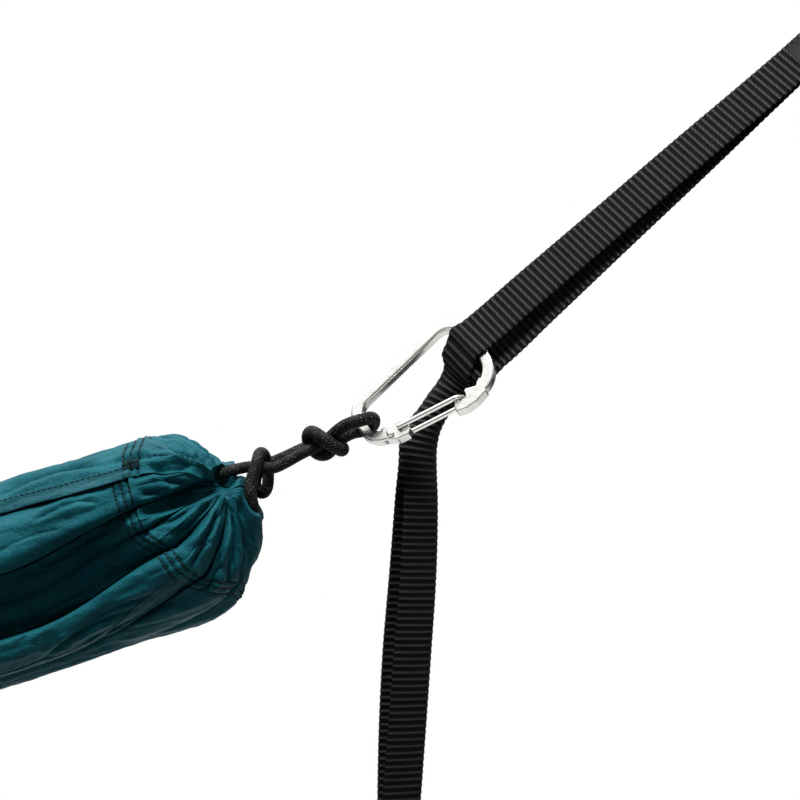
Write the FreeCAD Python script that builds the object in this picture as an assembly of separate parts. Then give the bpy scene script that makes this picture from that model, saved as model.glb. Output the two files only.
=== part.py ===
"""Camping hammock: a gathered cloth bed, hung by cord slings and wire-gate carabiners from daisy-chain straps.

Millimetres. The origin is the centre of the right tree loop. +X points out of the hammock's right end, +Y away
from its front, and +Z up. The left end is the right end mirrored about the plane x = MID_X.
"""
import FreeCAD, Part
import math
import os

from FreeCAD import Matrix, Vector

# Webbing of the daisy-chain straps
WEB_WIDTH = 25.0
WEB_THICKNESS = 1.6
TACK_THICKNESS = 0.5  # thread that stands proud on each face of a bartack
TACK_WIDTH = 21.0
TACK_INSET = 0.12  # from each end of the sewn stretch, as a share of it
EYE_RADIUS = 15.0  # inside of the tree loop
EYE_THROAT = 34.0  # eye centre to the point where the loop's two legs meet
EYE_NECK = 42.0  # eye centre to the end of the sewn neck
SWING_GAP = 9.0  # length of webbing that bends when the hammock swings on its loops
STRAP_REACH = 293.5  # eye centre to the carabiner's basket bar
STRAP_SLOPE = math.radians(42.0)
TAIL_GAP = 7.0  # length of webbing that bends when a tail swings

# Carabiner, in its own plane: along its spine, up towards the spine, and out of its front face
CARABINER_PITCH = math.radians(35.0)  # the spine's slope
CARABINER_TILT = math.radians(35.0)  # turn about the spine, gate side to the front
BAR_WIDTH = 6.6
BAR_THICKNESS = 6.4
BAR_ROUNDING = 1.5
CORNERS = [  # centreline from the gate's boss round to the nose: along, up, corner radius
    (16.0, -39.0, 0.0),
    (2.6, -35.0, 9.5),
    (2.3, -11.2, 10.0),
    (76.7, 3.2, 12.5),
    (75.8, -50.0, 16.0),
    (53.5, -47.0, 0.0),
]
BASKET = Vector(76.5, -24.0, 0.0)  # where the strap crosses the basket bar
GATE_PIVOT = Vector(15.0, -38.8, 0.0)
GATE_CATCH = Vector(54.9, -45.6, 0.0)  # the gate's crossbar, closed
GATE_LEG = 4.9  # each leg's distance from the carabiner's mid-plane
GATE_WIRE = 2.7
BEND_DEPTH = 1.9  # how far the gate's round crossbar bends back across the nose's thickness
GATE_FEET = (2.9, -2.8)  # front and rear leg's foot, from the pivot
GATE_SLACK = 0.35  # between the crossbar and its slot in the nose
FOOT_SLACK = 0.3  # between a foot's end and the boss
BOSS_OUTLINE = [(8.5, -32.2), (22.3, -34.6), (22.8, -42.4), (19.6, -45.2), (13.6, -44.2), (8.0, -39.6)]
BOSS_ROUNDING = 1.6
NOSE_OUTLINE = [
    (66.5, -50.8), (59.0, -53.0), (52.8, -53.2), (47.0, -51.2), (47.8, -47.4), (50.8, -43.4), (58.5, -42.4), (66.5, -46.0),
]
NOSE_ROUNDING = 1.2
PLATE_FILLET = 0.9
RIVET_RADIUS = 2.2
RIVET_HEAD = 1.7
RIVET_DOME = 1.2  # rounding of the head's rim
RIVET_SHANK = (1.2, 4.7)  # radius and length

# Sling cord
CORD = 6.0
CORD_PITCH = 6.3  # between the two strands where they run side by side
KNOT_OUTER = Vector(-298.2, -1.5, -246.3)
KNOT_INNER = Vector(-333.4, -1.5, -260.4)
LEAD_TOP = Vector(-354.7, -2.0, -262.0)  # where the upper lead comes out of the gathered hem
LEAD_LOW = Vector(-337.0, -4.0, -284.0)
DRAWN_TURNS = [Vector(-374.0, -2.0, -272.0), Vector(-366.0, -3.0, -293.0)]  # where the cord turns inside the hem
OUTER_KNOT = (24.0, 9.8)  # length and radius
INNER_KNOT = (15.0, 10.5)
TUNNEL_SLACK = 0.2

# Gathered hem channel and cloth bed
END_SLOPE = math.radians(19.5)
CHANNEL_BACK = Vector(-384.0, 0.0, -294.5)  # centre of the channel's inner end
CHANNEL_RADIUS = 51.0
CHANNEL_STRAIGHT = 14.0
CHANNEL_LENGTH = 52.0
CHANNEL_SHOULDER = (37.0, 32.0)  # a point of the dome: along the axis, and its radius
CHANNEL_TIP = 5.0  # radius of the hole's rim
STITCH_ROWS = (2.0, 6.5, 11.0)  # along the channel
STITCH_WIDTH = 1.2
STITCH_HEIGHT = 0.6
MID_X = -1635.0
AXIS_SAG = 130.0  # of the line through the sections' centres
BED_WIDTH = 640.0  # at mid span
BED_DEPTH = 240.0  # from the sections' centres to the bottom, at mid span
BED_OPENING = (math.radians(150.0), math.radians(100.0))  # half angle that the cloth wraps: end, mid span
OPENED_BY = 0.5  # share of the half span in which the gathers let go
CLOTH = 5.0  # depth of the pleated cloth
SEAM = 7.0
SEAM_AT = 0.35  # share of the wrap, from the middle to each seam
HEM_AT = 0.98  # share of the wrap at which the side hems begin
SEAM_HALF = 0.008  # half a seam's width, as a share of the wrap
PANEL_GAP = 0.01  # from a seam's middle to the panel beside it, as a share of the wrap
STATIONS = [0.0, 0.05, 0.12, 0.22, 0.34, 0.48, 0.64, 0.82]  # of half the span, from each end

ACROSS = Vector(0, 1, 0)


def unit(v):
    return v / v.Length


def cross(a, b):
    return a.cross(b)


def placed(shape, origin, ex, ey):
    """The shape moved from the XY plane at 0 to the plane of ex and ey at origin."""
    ez = cross(ex, ey)
    shape = shape.copy()
    shape.transformShape(
        Matrix(ex.x, ey.x, ez.x, origin.x, ex.y, ey.y, ez.y, origin.y, ex.z, ey.z, ez.z, origin.z, 0, 0, 0, 1)
    )
    return shape


def closed_face(points):
    return Part.Face(Part.makePolygon(points + points[:1]))


def rounded_path(points, radii):
    """Straight runs joined by tangent arcs of the given radii at the inner points."""
    edges, start = [], points[0]
    for before, corner, after, radius in zip(points, points[1:], points[2:], radii):
        back, on = unit(before - corner), unit(after - corner)
        half = back.getAngle(on) / 2
        leg = radius / math.tan(half)
        middle = corner + unit(back + on) * (radius / math.sin(half) - radius)
        if (corner + back * leg - start).Length > 1e-6:
            edges.append(Part.LineSegment(start, corner + back * leg).toShape())
        edges.append(Part.Arc(corner + back * leg, middle, corner + on * leg).toShape())
        start = corner + on * leg
    edges.append(Part.LineSegment(start, points[-1]).toShape())
    return Part.Wire(edges)


def sweep(path, profile, binormal=None):
    maker = Part.BRepOffsetAPI.MakePipeShell(path)
    if binormal:
        maker.setBiNormalMode(binormal)
    maker.add(profile)
    maker.build()
    maker.makeSolid()
    return Part.Solid(maker.shape())


def round_bar(path, radius):
    """A round bar along a path."""
    start = path.OrderedEdges[0]
    way = start.tangentAt(start.FirstParameter)
    return sweep(path, Part.Wire(Part.makeCircle(radius, path.OrderedVertexes[0].Point, way)))


def cord_tube(name, points, radius=CORD / 2):
    """A cord along a route, with arcs as large as its runs allow."""
    radii = []
    for before, corner, after in zip(points, points[1:], points[2:]):
        shorter = min((corner - before).Length, (after - corner).Length)
        turn = math.pi - (before - corner).getAngle(after - corner)
        radii.append(0.45 * shorter / math.tan(turn / 2))
    path = rounded_path(points, radii)
    tube = round_bar(path, radius)
    share = tube.Volume / (math.pi * radius**2 * path.Length)
    print(f"{name}: length {path.Length:.1f}, radii {[round(r, 1) for r in radii]}, volume share {share:.3f}")
    return tube


# ---- the strap's own frame, and the carabiner's ----

STRAP = Vector(math.cos(STRAP_SLOPE), 0, math.sin(STRAP_SLOPE))  # up towards the tree
SPINE = Vector(math.cos(CARABINER_PITCH), 0, math.sin(CARABINER_PITCH))
RISE = (
    Vector(-math.sin(CARABINER_PITCH), 0, math.cos(CARABINER_PITCH)) * math.cos(CARABINER_TILT)
    + ACROSS * math.sin(CARABINER_TILT)
)
FACE = cross(SPINE, RISE)
CARABINER = STRAP * -STRAP_REACH - SPINE * BASKET.x - RISE * BASKET.y


def on_carabiner(along, up, out):
    """A point of the carabiner's frame, in the hammock's."""
    return CARABINER + SPINE * along + RISE * up + FACE * out


def edge_direction(way, twist):
    """Across the webbing, square to its run: level at twist 0, its lower edge to the rear as twist grows."""
    level = unit(Vector(-way.z, 0, way.x))
    across = level * math.cos(twist) + ACROSS * math.sin(twist)
    return unit(across - way * across.dot(way))


def web_frames(stations):
    """Centre, across and outward direction at each station of the line between a strap's two webs.

    A station is its centre, its twist in degrees, half the distance between the webs' centres, and how far the
    rear web is shifted across from the front one. The stations run down the strap.
    """
    points = [s[0] for s in stations]
    frames = []
    for i, (centre, twist, half_gap, shift) in enumerate(stations):
        way = unit(points[min(i + 1, len(points) - 1)] - points[max(i - 1, 0)])
        across = edge_direction(way, math.radians(twist))
        frames.append((centre, across, cross(way, across), half_gap, shift))
    return frames


def web(stations, side):
    """One web of a strap, as a band through the stations: side is +1 for the front web, -1 for the rear one."""
    wires = []
    for centre, across, out, half_gap, shift in web_frames(stations):
        middle = centre + out * (side * half_gap) - across * (side * shift / 2)
        a, b = across * (WEB_WIDTH / 2), out * (WEB_THICKNESS / 2)
        corners = [middle - a - b, middle + a - b, middle + a + b, middle - a + b]
        wires.append(Part.makePolygon(corners + corners[:1]))
    return Part.makeLoft(wires, True, True)


def bartack(stations, first):
    """The thread on both faces of a sewn stretch, between stations first and first + 1."""
    frames = web_frames(stations)
    (start, across, out, half_gap, shift), end = frames[first], frames[first + 1][0]
    plates = []
    for side in (1, -1):
        near = out * (side * (half_gap + WEB_THICKNESS / 2))
        far = near + out * (side * TACK_THICKNESS)
        edge, inset = across * (TACK_WIDTH / 2), (end - start) * TACK_INSET
        base = closed_face([start + inset + near - edge, end - inset + near - edge,
                            end - inset + near + edge, start + inset + near + edge])
        plate = base.extrude(far - near).cut([web(stations, 1), web(stations, -1)])
        plates.append(max(plate.Solids, key=lambda solid: solid.Volume))
    return plates


# ---- the tree loop ----

def tree_loop():
    """A teardrop loop of webbing with a sewn neck, its axis across the strap."""
    across = edge_direction(STRAP * -1, -CARABINER_TILT)
    side = cross(across, STRAP)
    lean = math.asin(EYE_RADIUS / EYE_THROAT)
    tangent = math.pi / 2 + lean
    outer = EYE_RADIUS + WEB_THICKNESS
    shoulder = -(outer - WEB_THICKNESS * math.sin(tangent)) / -math.cos(tangent)

    def polar(radius, angle):
        return Vector(radius * math.cos(angle), radius * math.sin(angle), 0)

    def teardrop(radius, corners):
        arc = Part.Arc(polar(radius, tangent), Vector(radius, 0, 0), polar(radius, -tangent)).toShape()
        ends = [polar(radius, -tangent)] + corners + [polar(radius, tangent)]
        return Part.Face(Part.Wire([arc] + [Part.LineSegment(a, b).toShape() for a, b in zip(ends, ends[1:])]))

    t = WEB_THICKNESS
    outside = teardrop(outer, [Vector(shoulder, -t, 0), Vector(-EYE_NECK, -t, 0),
                               Vector(-EYE_NECK, t, 0), Vector(shoulder, t, 0)])
    inside = teardrop(EYE_RADIUS, [Vector(-EYE_THROAT, 0, 0)])
    loop = outside.cut(inside).extrude(Vector(0, 0, WEB_WIDTH))
    loop.translate(Vector(0, 0, -WEB_WIDTH / 2))
    return placed(loop.Solids[0], Vector(0, 0, 0), STRAP, side)


# ---- the strap's taut part and its tail ----

GAP_SEWN = WEB_THICKNESS / 2
GAP_AT_BAR = BAR_THICKNESS / 2 + GAP_SEWN + 0.15


def strap_stations():
    """From the swing gap at the tree loop, over the basket bar, and down behind the gate."""
    basket = STRAP * -STRAP_REACH
    top = STRAP_REACH - EYE_NECK - SWING_GAP
    return [
        (basket + STRAP * top, -35, GAP_SEWN, 0),
        (basket + STRAP * (top - 17), -35, GAP_SEWN, 0),
        (basket + STRAP * 4, -35, GAP_AT_BAR, 9.5),
        (basket - SPINE * 5.8, -35, GAP_AT_BAR, 9.5),
        (on_carabiner(66.5, -24.3, 0), -35, GAP_SEWN + 0.1, 6),
        (on_carabiner(62, -24.8, -3.5), -34, GAP_SEWN + 0.2, 4),
        (on_carabiner(57.5, -25.6, -10), -27, 1.5, 2),
        (on_carabiner(46.3, -27.9, -16), -12, 1.6, 0),
        (on_carabiner(32.3, -33.9, -18), 15, 2.0, 0),
        (TAIL_TOP, 40, 2.6, 0),
    ]


def tail_stations(pivot):
    """Three hanging pockets and a sewn end, below the bend at pivot."""
    drops = [  # below the pivot: drop, drift along X, twist, half gap
        (TAIL_GAP / 2, -0.4, 42, 2.6),
        (25, -2.4, 40, 3.6),
        (60, -4.6, 37, 4.8),
        (110, -8.2, 34, 5.4),
        (155, -11.0, 33, 4.2),
        (185, -12.6, 32, 2.4),
        (202, -13.4, 32, GAP_SEWN),
        (212, -13.8, 32, GAP_SEWN),
        (230, -14.4, 32, 2.6),
        (270, -15.4, 32, 5.0),
        (320, -16.2, 32, 5.2),
        (365, -16.8, 32, 2.8),
        (382, -17.0, 32, GAP_SEWN),
        (392, -17.0, 32, GAP_SEWN),
        (410, -17.2, 32, 2.6),
        (450, -17.4, 32, 5.0),
        (500, -17.6, 32, 5.2),
        (545, -17.8, 32, 2.8),
        (562, -17.8, 32, GAP_SEWN),
        (596, -17.8, 32, GAP_SEWN),
    ]
    return [(pivot + Vector(drift, 0, -drop), twist, gap, 0) for drop, drift, twist, gap in drops]


TAIL_TOP = Vector(-247.7, 9.0, -249.5)
TAIL_PIVOT = TAIL_TOP - Vector(0, 0, TAIL_GAP / 2)
TAIL_TACKS = (6, 12, 18)


# ---- the carabiner ----

def bar_profile():
    """The bar's rounded section, standing on the boss end of the centreline, square to it."""
    w, t, r = BAR_WIDTH / 2, BAR_THICKNESS / 2, BAR_ROUNDING
    points = [Vector(x, y, 0) for x, y in ((0, -t), (w, -t), (w, t), (-w, t), (-w, -t), (0, -t))]
    ring = rounded_path(points, [r] * 4)
    start, after = Vector(*CORNERS[0][:2], 0), Vector(*CORNERS[1][:2], 0)
    way = unit(after - start)
    return placed(ring, start, cross(Vector(0, 0, 1), way), Vector(0, 0, 1))


def plate(points, rounding):
    """A flat plate with rounded corners, as thick as the bar, centred on the mid-plane."""
    middle = (points[0] + points[1]) / 2
    ring = rounded_path([middle] + points[1:] + [points[0], middle], [rounding] * len(points))
    solid = Part.Face(ring).extrude(Vector(0, 0, BAR_THICKNESS))
    solid.translate(Vector(0, 0, -BAR_THICKNESS / 2))
    rims = [e for e in solid.Edges if abs(e.BoundBox.ZLength) < 1e-6]
    return solid.makeFillet(PLATE_FILLET, rims)


def rivet():
    """The dome that closes the gate's foot hole, with its shank."""
    seat = GATE_PIVOT + Vector(GATE_FEET[1], 0, BAR_THICKNESS / 2)
    head = Part.makeCylinder(RIVET_RADIUS, RIVET_HEAD, seat)
    rim = max(head.Edges, key=lambda edge: edge.BoundBox.ZMin)
    radius, length = RIVET_SHANK
    shank = Part.makeCylinder(radius, length + RIVET_HEAD / 2, seat - Vector(0, 0, length))
    return head.makeFillet(RIVET_DOME, [rim]).fuse(shank).removeSplitter().Solids[0]


def carabiner_frame():
    """The open D of bar, with the boss that holds the gate and the notched nose that catches it."""
    points = [Vector(x, y, 0) for x, y, _ in CORNERS]
    path = rounded_path(points, [r for _, _, r in CORNERS[1:-1]])
    frame = sweep(path, bar_profile(), Vector(0, 0, 1))
    boss = plate([Vector(x, y, 0) for x, y in BOSS_OUTLINE], BOSS_ROUNDING)
    nose = plate([Vector(x, y, 0) for x, y in NOSE_OUTLINE], NOSE_ROUNDING)
    frame = frame.fuse([boss, nose]).removeSplitter()
    reach = GATE_WIRE / 2 + GATE_SLACK
    way = unit(GATE_PIVOT - GATE_CATCH)
    inward = Vector(-way.y, way.x, 0)
    if inward.y < 0:
        inward = inward * -1
    round_ends = [Part.makeCylinder(reach, 10, GATE_CATCH + way * k - Vector(0, 0, 5)) for k in (0, BEND_DEPTH)]
    a, b = way * reach, inward * 8
    back = way * BEND_DEPTH
    slot = closed_face([GATE_CATCH - a, GATE_CATCH + a + back, GATE_CATCH + a * 1.3 + back + b,
                        GATE_CATCH - a * 1.3 + b])
    slot = slot.extrude(Vector(0, 0, 10))
    slot.translate(Vector(0, 0, -5))
    return frame.cut(round_ends + [slot, rivet()]).Solids[0]


def gate():
    """A loop of wire: two legs, joined by a round crossbar at the nose, each with a foot at the boss."""
    way = unit(GATE_CATCH - GATE_PIVOT)
    reach = (GATE_CATCH - GATE_PIVOT).Length - GATE_LEG
    out = Vector(0, 0, GATE_LEG)
    front, rear = (GATE_PIVOT + way * abs(GATE_FEET[0]), GATE_PIVOT - way * abs(GATE_FEET[1]))
    bend = GATE_PIVOT + way * reach
    path = Part.Wire([
        Part.LineSegment(front + out, bend + out).toShape(),
        Part.Arc(bend + out, GATE_CATCH, bend - out).toShape(),
        Part.LineSegment(bend - out, rear - out).toShape(),
    ])
    wire = round_bar(path, GATE_WIRE / 2)
    pieces = []
    length = GATE_LEG - BAR_THICKNESS / 2 - FOOT_SLACK
    for foot, side in ((front, 1), (rear, -1)):
        turn = foot + out * side
        pieces.append(Part.makeSphere(GATE_WIRE / 2, turn))
        pieces.append(Part.makeCylinder(GATE_WIRE / 2, length, turn, Vector(0, 0, -side)))
    return wire.fuse(pieces).removeSplitter().Solids[0]


# ---- the sling cord ----

def knot(centre, way, length, radius):
    """The outside of a tied knot, as a barrel along the cord."""
    end, half = CORD, length / 2
    profile = Part.Wire([
        Part.LineSegment(Vector(-half, 0, 0), Vector(-half, end, 0)).toShape(),
        Part.Arc(Vector(-half, end, 0), Vector(0, radius, 0), Vector(half, end, 0)).toShape(),
        Part.LineSegment(Vector(half, end, 0), Vector(half, 0, 0)).toShape(),
        Part.LineSegment(Vector(half, 0, 0), Vector(-half, 0, 0)).toShape(),
    ])
    barrel = Part.Face(profile).revolve(Vector(0, 0, 0), Vector(1, 0, 0), 360)
    return placed(barrel, centre, way, unit(cross(Vector(0, 0, 1), way)))


def cord_pieces(channel):
    """The sling's visible stretches and its two knots, outside the gathered channel."""
    way = unit(KNOT_OUTER - KNOT_INNER)
    beside = cross(ACROSS, way) * (CORD_PITCH / 2)
    outer = knot(KNOT_OUTER, way, *OUTER_KNOT)
    inner = knot(KNOT_INNER, way, *INNER_KNOT).cut(channel).Solids[0]
    front, inside = BAR_THICKNESS / 2 + CORD / 2 + 0.15, CORNERS[2][0] + BAR_WIDTH / 2 + CORD / 2 + 0.8
    bight = cord_tube("bight", [
        KNOT_OUTER,
        on_carabiner(-2.5, -24.5, front),
        on_carabiner(inside, -25.5, front),
        on_carabiner(inside, -25.5, -front),
        on_carabiner(-2.5, -24.5, -front),
        KNOT_OUTER + Vector(0, 2, 0),
    ]).cut(outer)
    strands = [cord_tube("strand", [KNOT_INNER + beside * k, KNOT_OUTER + beside * k]) for k in (1, -1)]
    pair = [s.cut([outer, inner]).Solids[0] for s in strands]
    leads = [cord_tube("lead", [a, KNOT_INNER + b]) for a, b in ((LEAD_TOP, beside), (LEAD_LOW, beside * -1))]
    leads = [lead.cut([inner, channel]).Solids[0] for lead in leads]
    return outer, inner, bight.Solids[0], pair, leads


# ---- the gathered channel ----

CHANNEL_AXIS = Vector(math.cos(END_SLOPE), 0, math.sin(END_SLOPE))
CHANNEL_RISE = Vector(-math.sin(END_SLOPE), 0, math.cos(END_SLOPE))


def drawn_cord(radius):
    """The cord's loop inside the channel, between its two exits."""
    name = "drawn cord" if radius == CORD / 2 else "tunnel"
    return cord_tube(name, [LEAD_TOP] + DRAWN_TURNS + [LEAD_LOW], radius)


def channel():
    """The pleated hem, drawn together round the cord into a puckered dome."""
    ring = [Vector(0, 0, 0), Vector(0, CHANNEL_RADIUS, 0), Vector(CHANNEL_STRAIGHT, CHANNEL_RADIUS, 0)]
    shoulder, tip = Vector(*CHANNEL_SHOULDER, 0), Vector(CHANNEL_LENGTH, CHANNEL_TIP, 0)
    profile = Part.Wire([
        Part.LineSegment(ring[0], ring[1]).toShape(),
        Part.LineSegment(ring[1], ring[2]).toShape(),
        Part.Arc(ring[2], shoulder, tip).toShape(),
        Part.LineSegment(tip, Vector(CHANNEL_LENGTH, 0, 0)).toShape(),
        Part.LineSegment(Vector(CHANNEL_LENGTH, 0, 0), ring[0]).toShape(),
    ])
    dome = Part.Face(profile).revolve(Vector(0, 0, 0), Vector(1, 0, 0), 360)
    return placed(dome, CHANNEL_BACK, CHANNEL_AXIS, CHANNEL_RISE)


def stitch_rows():
    """Three rows of thread round the channel."""
    rows = []
    inner, outer = CHANNEL_RADIUS + 0.05, CHANNEL_RADIUS + STITCH_HEIGHT
    for along in STITCH_ROWS:
        end = along + STITCH_WIDTH
        corners = [(along, inner), (end, inner), (end, outer), (along, outer)]
        band = closed_face([Vector(x, y, 0) for x, y in corners])
        ring = band.revolve(Vector(0, 0, 0), Vector(1, 0, 0), 360)
        rows.append(placed(ring, CHANNEL_BACK, CHANNEL_AXIS, CHANNEL_RISE))
    return rows


# ---- the cloth bed ----

HALF_SPAN = CHANNEL_BACK.x - MID_X


def bed_section(share):
    """Centre, upward direction, half width, half depth and wrap, from 0 at the right end to 2 at the left one."""
    near = min(share, 2 - share)
    power = math.tan(END_SLOPE) * HALF_SPAN / AXIS_SAG
    drop = AXIS_SAG * (1 - (1 - near) ** power)
    slope = math.atan(AXIS_SAG * power * (1 - near) ** (power - 1) / HALF_SPAN) * (1 if share <= 1 else -1)
    opened = min(1.0, near / OPENED_BY)
    spread = (1 - (1 - near) ** 2) * opened * opened * (3 - 2 * opened)
    half_width = CHANNEL_RADIUS + (BED_WIDTH / 2 - CHANNEL_RADIUS) * spread
    half_depth = CHANNEL_RADIUS + (BED_DEPTH - CHANNEL_RADIUS) * spread
    wrap = BED_OPENING[0] + (BED_OPENING[1] - BED_OPENING[0]) * spread
    centre = Vector(CHANNEL_BACK.x - share * HALF_SPAN, 0, CHANNEL_BACK.z - drop)
    return centre, Vector(-math.sin(slope), 0, math.cos(slope)), half_width, half_depth, wrap


def bed_strip(first, last, depth):
    """A lengthwise strip of the bed between two shares of its wrap, -1 at the front edge and 1 at the rear."""
    shares = [0.001] + STATIONS[1:] + [1.0] + [2 - s for s in reversed(STATIONS[1:])] + [1.999]
    wires = []
    for share in shares:
        centre, up, half_width, half_depth, wrap = bed_section(share)

        def line(offset):
            steps = [first + (last - first) * i / 8 for i in range(9)]
            return [centre + ACROSS * ((half_width + offset) * math.sin(wrap * t))
                    - up * ((half_depth + offset) * math.cos(wrap * t)) for t in steps]

        inner, outer = line(-CLOTH / 2 - depth / 2), line(-CLOTH / 2 + depth / 2)
        curves = []
        for points in (outer, inner[::-1]):
            curve = Part.BSplineCurve()
            curve.interpolate(points)
            curves.append(curve.toShape())
        rims = ((outer[-1], inner[-1]), (inner[0], outer[0]))
        sides = [Part.LineSegment(a, b).toShape() for a, b in rims]
        wires.append(Part.Wire([curves[0], sides[0], curves[1], sides[1]]))
    return Part.makeLoft(wires, True, False)


# ---- every node ----

def right_end():
    """The nodes of one end, by name."""
    strap, tail = strap_stations(), tail_stations(TAIL_PIVOT)
    hem = channel()
    outer, inner, bight, pair, leads = cord_pieces(hem)
    neck = [(STRAP * -EYE_THROAT - STRAP * 1.5, -35, GAP_SEWN, 0), (STRAP * -EYE_NECK, -35, GAP_SEWN, 0)]
    on_frame = {
        "carabiner_frame": carabiner_frame(),
        "carabiner_gate": gate(),
        "gate_rivet": rivet(),
    }
    nodes = {name: placed(shape, CARABINER, SPINE, RISE) for name, shape in on_frame.items()}
    nodes.update({
        "tree_loop": tree_loop(),
        "loop_bartack": Part.makeCompound(bartack(neck, 0)),
        "strap_front_web": web(strap, 1),
        "strap_rear_web": web(strap, -1),
        "strap_bartacks": Part.makeCompound(bartack(strap, 0) + bartack(strap, 4)),
        "tail_front_web": web(tail, 1),
        "tail_rear_web": web(tail, -1),
        "tail_bartacks": Part.makeCompound([p for first in TAIL_TACKS for p in bartack(tail, first)]),
        "cord_bight": bight,
        "outer_knot": outer,
        "cord_pair": Part.makeCompound(pair),
        "inner_knot": inner,
        "cord_leads": Part.makeCompound(leads),
        "drawn_cord": drawn_cord(CORD / 2).common(hem).Solids[0],
        "end_channel": hem.cut(drawn_cord(CORD / 2 + TUNNEL_SLACK)).Solids[0],
        "channel_stitching": Part.makeCompound(stitch_rows()),
    })
    return nodes


def bed():
    """The three cloth panels, the two seams that join them and the two side hems."""
    seam, hem, gap, half = SEAM_AT, HEM_AT, PANEL_GAP, SEAM_HALF
    return {
        "centre_panel": bed_strip(-seam + gap, seam - gap, CLOTH),
        "front_panel": bed_strip(-hem + gap, -seam - gap, CLOTH),
        "rear_panel": bed_strip(seam + gap, hem - gap, CLOTH),
        "front_seam": bed_strip(-seam - half, -seam + half, SEAM),
        "rear_seam": bed_strip(seam - half, seam + half, SEAM),
        "front_hem": bed_strip(-1.0, -hem + half, SEAM),
        "rear_hem": bed_strip(hem - half, 1.0, SEAM),
    }


def main():
    os.makedirs("parts", exist_ok=True)
    nodes = bed()
    for name, shape in right_end().items():
        nodes["right_" + name] = shape
        nodes["left_" + name] = shape.mirror(Vector(MID_X, 0, 0), Vector(1, 0, 0))
    for name, shape in sorted(nodes.items()):
        box = shape.BoundBox
        print(f"{name}: valid {shape.isValid()}, solids {len(shape.Solids)}, volume {shape.Volume:.1f}, "
              f"x {box.XMin:.0f}..{box.XMax:.0f} y {box.YMin:.0f}..{box.YMax:.0f} z {box.ZMin:.0f}..{box.ZMax:.0f}")
        shape.exportStep(f"parts/{name}.step")


main()
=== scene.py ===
"""Camping hammock: gathered cloth bed, knotted cord slings, wire-gate carabiners and daisy-chain straps.

Shapes are worked out in millimetres and made in metres. The left end is the right end mirrored at MID_X.
"""
import math

import bpy
import numpy as np
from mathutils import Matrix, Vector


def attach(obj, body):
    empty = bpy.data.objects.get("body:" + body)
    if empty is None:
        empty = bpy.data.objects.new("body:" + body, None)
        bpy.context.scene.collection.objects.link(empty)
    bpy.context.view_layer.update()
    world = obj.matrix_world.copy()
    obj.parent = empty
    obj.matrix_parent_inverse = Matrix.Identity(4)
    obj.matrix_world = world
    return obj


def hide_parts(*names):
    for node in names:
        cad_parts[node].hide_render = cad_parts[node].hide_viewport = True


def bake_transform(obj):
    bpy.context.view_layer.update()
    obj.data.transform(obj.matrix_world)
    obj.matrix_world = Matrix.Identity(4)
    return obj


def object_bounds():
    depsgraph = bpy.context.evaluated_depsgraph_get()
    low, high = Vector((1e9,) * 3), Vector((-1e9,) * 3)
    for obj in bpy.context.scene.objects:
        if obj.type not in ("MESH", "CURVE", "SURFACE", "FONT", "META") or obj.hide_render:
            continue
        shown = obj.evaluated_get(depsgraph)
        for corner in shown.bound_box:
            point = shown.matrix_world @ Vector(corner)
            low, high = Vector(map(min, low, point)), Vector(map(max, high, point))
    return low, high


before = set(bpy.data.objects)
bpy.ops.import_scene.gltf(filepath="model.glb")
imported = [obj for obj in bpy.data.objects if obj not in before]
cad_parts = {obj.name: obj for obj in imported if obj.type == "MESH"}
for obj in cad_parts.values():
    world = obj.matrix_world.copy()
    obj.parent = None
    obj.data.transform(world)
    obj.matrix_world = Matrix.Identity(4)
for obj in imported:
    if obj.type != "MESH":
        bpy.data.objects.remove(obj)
cad_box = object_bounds()

MM = 0.001
MID_X = -1635.0
SIDES = ("right_", "left_")


# ---- small helpers ----

def vec(*v):
    return np.array(v, float)


def unit(v):
    return v / np.linalg.norm(v, axis=-1, keepdims=True)


def smooth(x, low, high):
    """0 up to low, 1 from high on, and a soft step between."""
    t = np.clip((x - low) / (high - low), 0, 1)
    return t * t * (3 - 2 * t)


def mirrored(points):
    """The same points at the left end."""
    points = np.array(points, float)
    points[..., 0] = 2 * MID_X - points[..., 0]
    return points


def lattice(i, j, seed):
    """A number from -1 to 1 for each whole place, the same each time."""
    h = (i * 374761393 + j * 668265263 + seed * 974634777) & 0xFFFFFFFF
    h = ((h ^ (h >> 13)) * 1274126177) & 0xFFFFFFFF
    return ((h ^ (h >> 16)) & 0xFFFF) / 32767.5 - 1


def noise(x, y, seed):
    """Smooth value noise, one feature per unit."""
    i, j = np.floor(x).astype(np.int64), np.floor(y).astype(np.int64)
    u, v = x - i, y - j
    u, v = u * u * (3 - 2 * u), v * v * (3 - 2 * v)
    low = lattice(i, j, seed) * (1 - u) + lattice(i + 1, j, seed) * u
    high = lattice(i, j + 1, seed) * (1 - u) + lattice(i + 1, j + 1, seed) * u
    return low * (1 - v) + high * v


def fractal(x, y, seed, octaves=3):
    """Noise with finer and fainter noise on it."""
    total = 0
    for k in range(octaves):
        total = total + noise(x * 2**k + 17 * k, y * 2**k - 31 * k, seed + k) / 2**k
    return total


def hermite(knots, values, at):
    """Smooth curve through the values at the knots; values may be rows."""
    knots, values, at = np.asarray(knots, float), np.asarray(values, float), np.asarray(at, float)
    shape = (-1,) + (1,) * (values.ndim - 1)
    slope = np.gradient(values, knots, axis=0)
    k = np.clip(np.searchsorted(knots, at, side="right") - 1, 0, len(knots) - 2)
    h = (knots[k + 1] - knots[k]).reshape(shape)
    t = ((at - knots[k]) / (knots[k + 1] - knots[k])).reshape(shape)
    a, b, ma, mb = values[k], values[k + 1], slope[k] * h, slope[k + 1] * h
    return ((2 * t**3 - 3 * t**2 + 1) * a + (t**3 - 2 * t**2 + t) * ma
            + (3 * t**2 - 2 * t**3) * b + (t**3 - t**2) * mb)


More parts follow.
